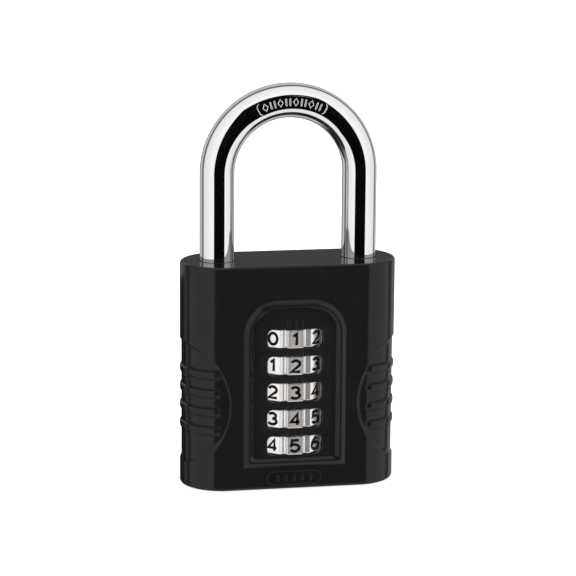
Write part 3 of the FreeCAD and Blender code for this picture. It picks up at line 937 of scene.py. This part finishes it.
plated = turned_metal("plated_steel", (0.50, 0.50, 0.49), (0.66, 0.66, 0.64), 0.28, 0.45, (1, 1, 10), 0.8)
brass = turned_metal("brass", (0.60, 0.42, 0.18), (0.76, 0.57, 0.29), 0.22, 0.40, (1, 1, 12), 0.6)
spring = turned_metal("spring_steel", (0.30, 0.30, 0.31), (0.46, 0.46, 0.47), 0.30, 0.50, (6, 6, 1), 0.7)
print("materials", len(bpy.data.materials))

# %% [markdown]
# ## Who moves with what
# Every new piece rides on a CAD body, and the CAD nodes that a piece stands for are hidden. The CAD nodes that
# stay get the finish of their slot.

# %% Dress and attach the pieces
def dress(obj, material, body, stands_for=()):
    """Gives a piece its finish and its body, and hides the nodes that it stands for."""
    obj.data.materials.clear()
    obj.data.materials.append(material)
    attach(obj, body)
    if stands_for:
        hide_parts(*stands_for)


dress(casing_skin, coat, "lock_body", ["casing"])
for piece in (window_frame, window_panel, index_lines, badge):
    dress(piece, coat, "lock_body")
brass_nodes = [frame["nodes"][e["node"]] for e in frame["record"]["subparts"] if e["material_slot"] == "brass"]
for piece in [window_frame, window_panel] + brass_nodes:
    piece.visible_glossy = False  # the studio lights the wheels past the window's dark edges
dress(shackle_rod, chrome, "shackle_set", ["shackle"])
dress(stamp_marks, chrome, "shackle_set")
for n in range(1, 6):
    dress(wheels[n - 1], satin, f"wheel_{n}", [f"code_wheel_{n}"])
    dress(digits[n - 1], enamel, f"wheel_{n}")

slot_finish = {"black_coat": coat, "mirror_chrome": chrome, "wheel_chrome": satin, "plated_steel": plated,
               "brass": brass, "spring_steel": spring}
for entry in frame["record"]["subparts"]:
    node = frame["nodes"][entry["node"]]
    node.data.materials.clear()
    node.data.materials.append(slot_finish[entry["material_slot"]])
print("dressed", len(frame["nodes"]), "nodes")

# %% [markdown]
# ## Studio
# The lock stands on a white floor in even white light. Chrome shows what is around it, so a dark card stands
# in front of the lock, seen only in reflections: it gives each leg its crisp black stripe and keeps the front
# of the casing black. A small grey card before it is what the reading faces of the wheels show, and a card
# behind the lock's left side darkens the casing's left edge.

# %% Floor, light and cards
def plain(name, colour, strength=0.0):
    """A matt surface for the studio, which may glow."""
    material = bpy.data.materials.new(name)
    material.use_nodes = True
    shader = material.node_tree.nodes["Principled BSDF"]
    shader.inputs["Base Color"].default_value = (*colour, 1)
    shader.inputs["Roughness"].default_value = 0.9
    shader.inputs["Specular IOR Level"].default_value = 0.0
    if strength:
        shader.inputs["Emission Color"].default_value = (*colour, 1)
        shader.inputs["Emission Strength"].default_value = strength
    return material


def card(name, corners, material):
    """A flat four-cornered sheet, with corners in millimetres."""
    mesh = bpy.data.meshes.new(name)
    mesh.from_pydata((np.array(corners, float) * MM).tolist(), [], [(0, 1, 2, 3)])
    obj = bpy.data.objects.new(name, mesh)
    obj.data.materials.append(material)
    bpy.context.scene.collection.objects.link(obj)
    return obj


def upright_card(name, start, end, z0, z1, material):
    """A card that stands from one x, y place to another, seen only in reflections."""
    obj = card(name, [(*start, z0), (*end, z0), (*end, z1), (*start, z1)], material)
    obj.visible_camera = False
    obj.visible_diffuse = False
    obj.visible_shadow = False


floor_reach = 3000
floor = card(
    "floor",
    [(-floor_reach, -floor_reach, 0), (floor_reach, -floor_reach, 0), (floor_reach, floor_reach, 0),
     (-floor_reach, floor_reach, 0)],
    plain("floor_white", (0.95, 0.95, 0.95), 0.5),
)
floor.visible_glossy = False
card_black = plain("card_black", (0.002, 0.002, 0.002))
card_soft = plain("card_soft", (0.11, 0.10, 0.095), 1.0)
card_grey = plain("card_grey", (0.01, 0.01, 0.01))
upright_card("dark_card", (-104, -150), (112, -150), -70, 250, card_black)
upright_card("wheel_card", (19, -148), (37, -148), -26, 20, card_soft)
upright_card("side_card", (-110, 66), (-28, 102), -80, 44, card_grey)

world = bpy.data.worlds.new("studio")
world.use_nodes = True
world.node_tree.nodes["Background"].inputs["Color"].default_value = (1, 1, 1, 1)
world.node_tree.nodes["Background"].inputs["Strength"].default_value = 1.1
bpy.context.scene.world = world
bpy.context.scene.view_settings.view_transform = "Standard"
print("stage ready")

# %% [markdown]
# ## Camera
# The camera looks from a little to the left and above, with a long lens, at a point halfway up the lock.

# %% Place the camera
aim = np.array([0.11, 0.0, 58.77])
distance = 776.0
azimuth, elevation, roll = math.radians(-11.17), math.radians(12.19), math.radians(0.46)
lens = 162.05

back = np.array([
    math.sin(azimuth) * math.cos(elevation),
    -math.cos(azimuth) * math.cos(elevation),
    math.sin(elevation),
])
right = np.cross(-back, [0, 0, 1])
right /= np.linalg.norm(right)
up = np.cross(right, -back)
right, up = right * math.cos(roll) + up * math.sin(roll), up * math.cos(roll) - right * math.sin(roll)
camera_data = bpy.data.cameras.new("camera")
camera_data.lens = lens
camera_data.sensor_width = 36.0
camera_data.clip_end = 20.0
camera = bpy.data.objects.new("camera", camera_data)
place = np.eye(4)
place[:3, 0], place[:3, 1], place[:3, 2] = right, up, back
place[:3, 3] = (aim + back * distance) * MM
camera.matrix_world = Matrix(place.tolist())
bpy.context.scene.collection.objects.link(camera)
bpy.context.scene.camera = camera
print("camera at", np.round(place[:3, 3], 3))

# %% [markdown]
# ## What the metal sees
# A round tent stands about the lock, and only reflections see it. Its tone depends on the angle from the
# camera's axis: light at the sides, one dark seam where two sheets of the tent meet, and grey behind the
# lock, which draws the dark edges of the shackle and keeps the top of the casing dark.

# %% The reflection tent
tent_angles = [0, 45, 60, 88, 97, 100, 114, 118, 140, 150, 180]
tent_tones = [1.0, 1.0, 0.92, 0.86, 0.72, 0.14, 0.16, 0.58, 0.52, 0.16, 0.12]
right_shift = 20.0
high_shift = 3.0
high_gain = 0.06


def reflection_tent(radius=1000.0):
    """A sphere about the aim, turned so that its pole points to the camera, with a tone at every point."""
    polar = np.radians(np.arange(0, 181, 1.0))[:, None]
    around = np.linspace(0, 2 * math.pi, 73)[None, :-1]
    sideways, upwards = np.sin(polar) * np.cos(around), np.sin(polar) * np.sin(around)
    local = np.stack([sideways, upwards, np.cos(polar) + 0 * around], -1)
    points = aim + radius * (local @ np.stack([right, up, back]))
    shifted = np.degrees(polar) - right_shift * np.maximum(sideways, 0) + high_shift * np.maximum(upwards, 0)
    tone = np.interp(shifted, tent_angles, tent_tones) * (1 + high_gain * np.maximum(upwards, 0))
    mesh = bpy.data.meshes.new("tent")
    mesh.from_pydata((points.reshape(-1, 3) * MM).tolist(), [], quads(*points.shape[:2], True).tolist())
    attribute = mesh.attributes.new("tone", "FLOAT", "POINT")
    attribute.data.foreach_set("value", tone.ravel().astype(np.float32))
    obj = bpy.data.objects.new("tent", mesh)
    bpy.context.scene.collection.objects.link(obj)
    obj.visible_camera = False
    obj.visible_diffuse = False
    obj.visible_shadow = False
    return obj


tent = reflection_tent()
tent_material = plain("tent_glow", (0, 0, 0), 1.0)
tone_node = tent_material.node_tree.nodes.new("ShaderNodeAttribute")
tone_node.attribute_name = "tone"
tent_shader = tent_material.node_tree.nodes["Principled BSDF"]
tent_material.node_tree.links.new(tone_node.outputs["Fac"], tent_shader.inputs["Emission Color"])
tent.data.materials.append(tent_material)
print("tent", len(tent.data.polygons), "faces")
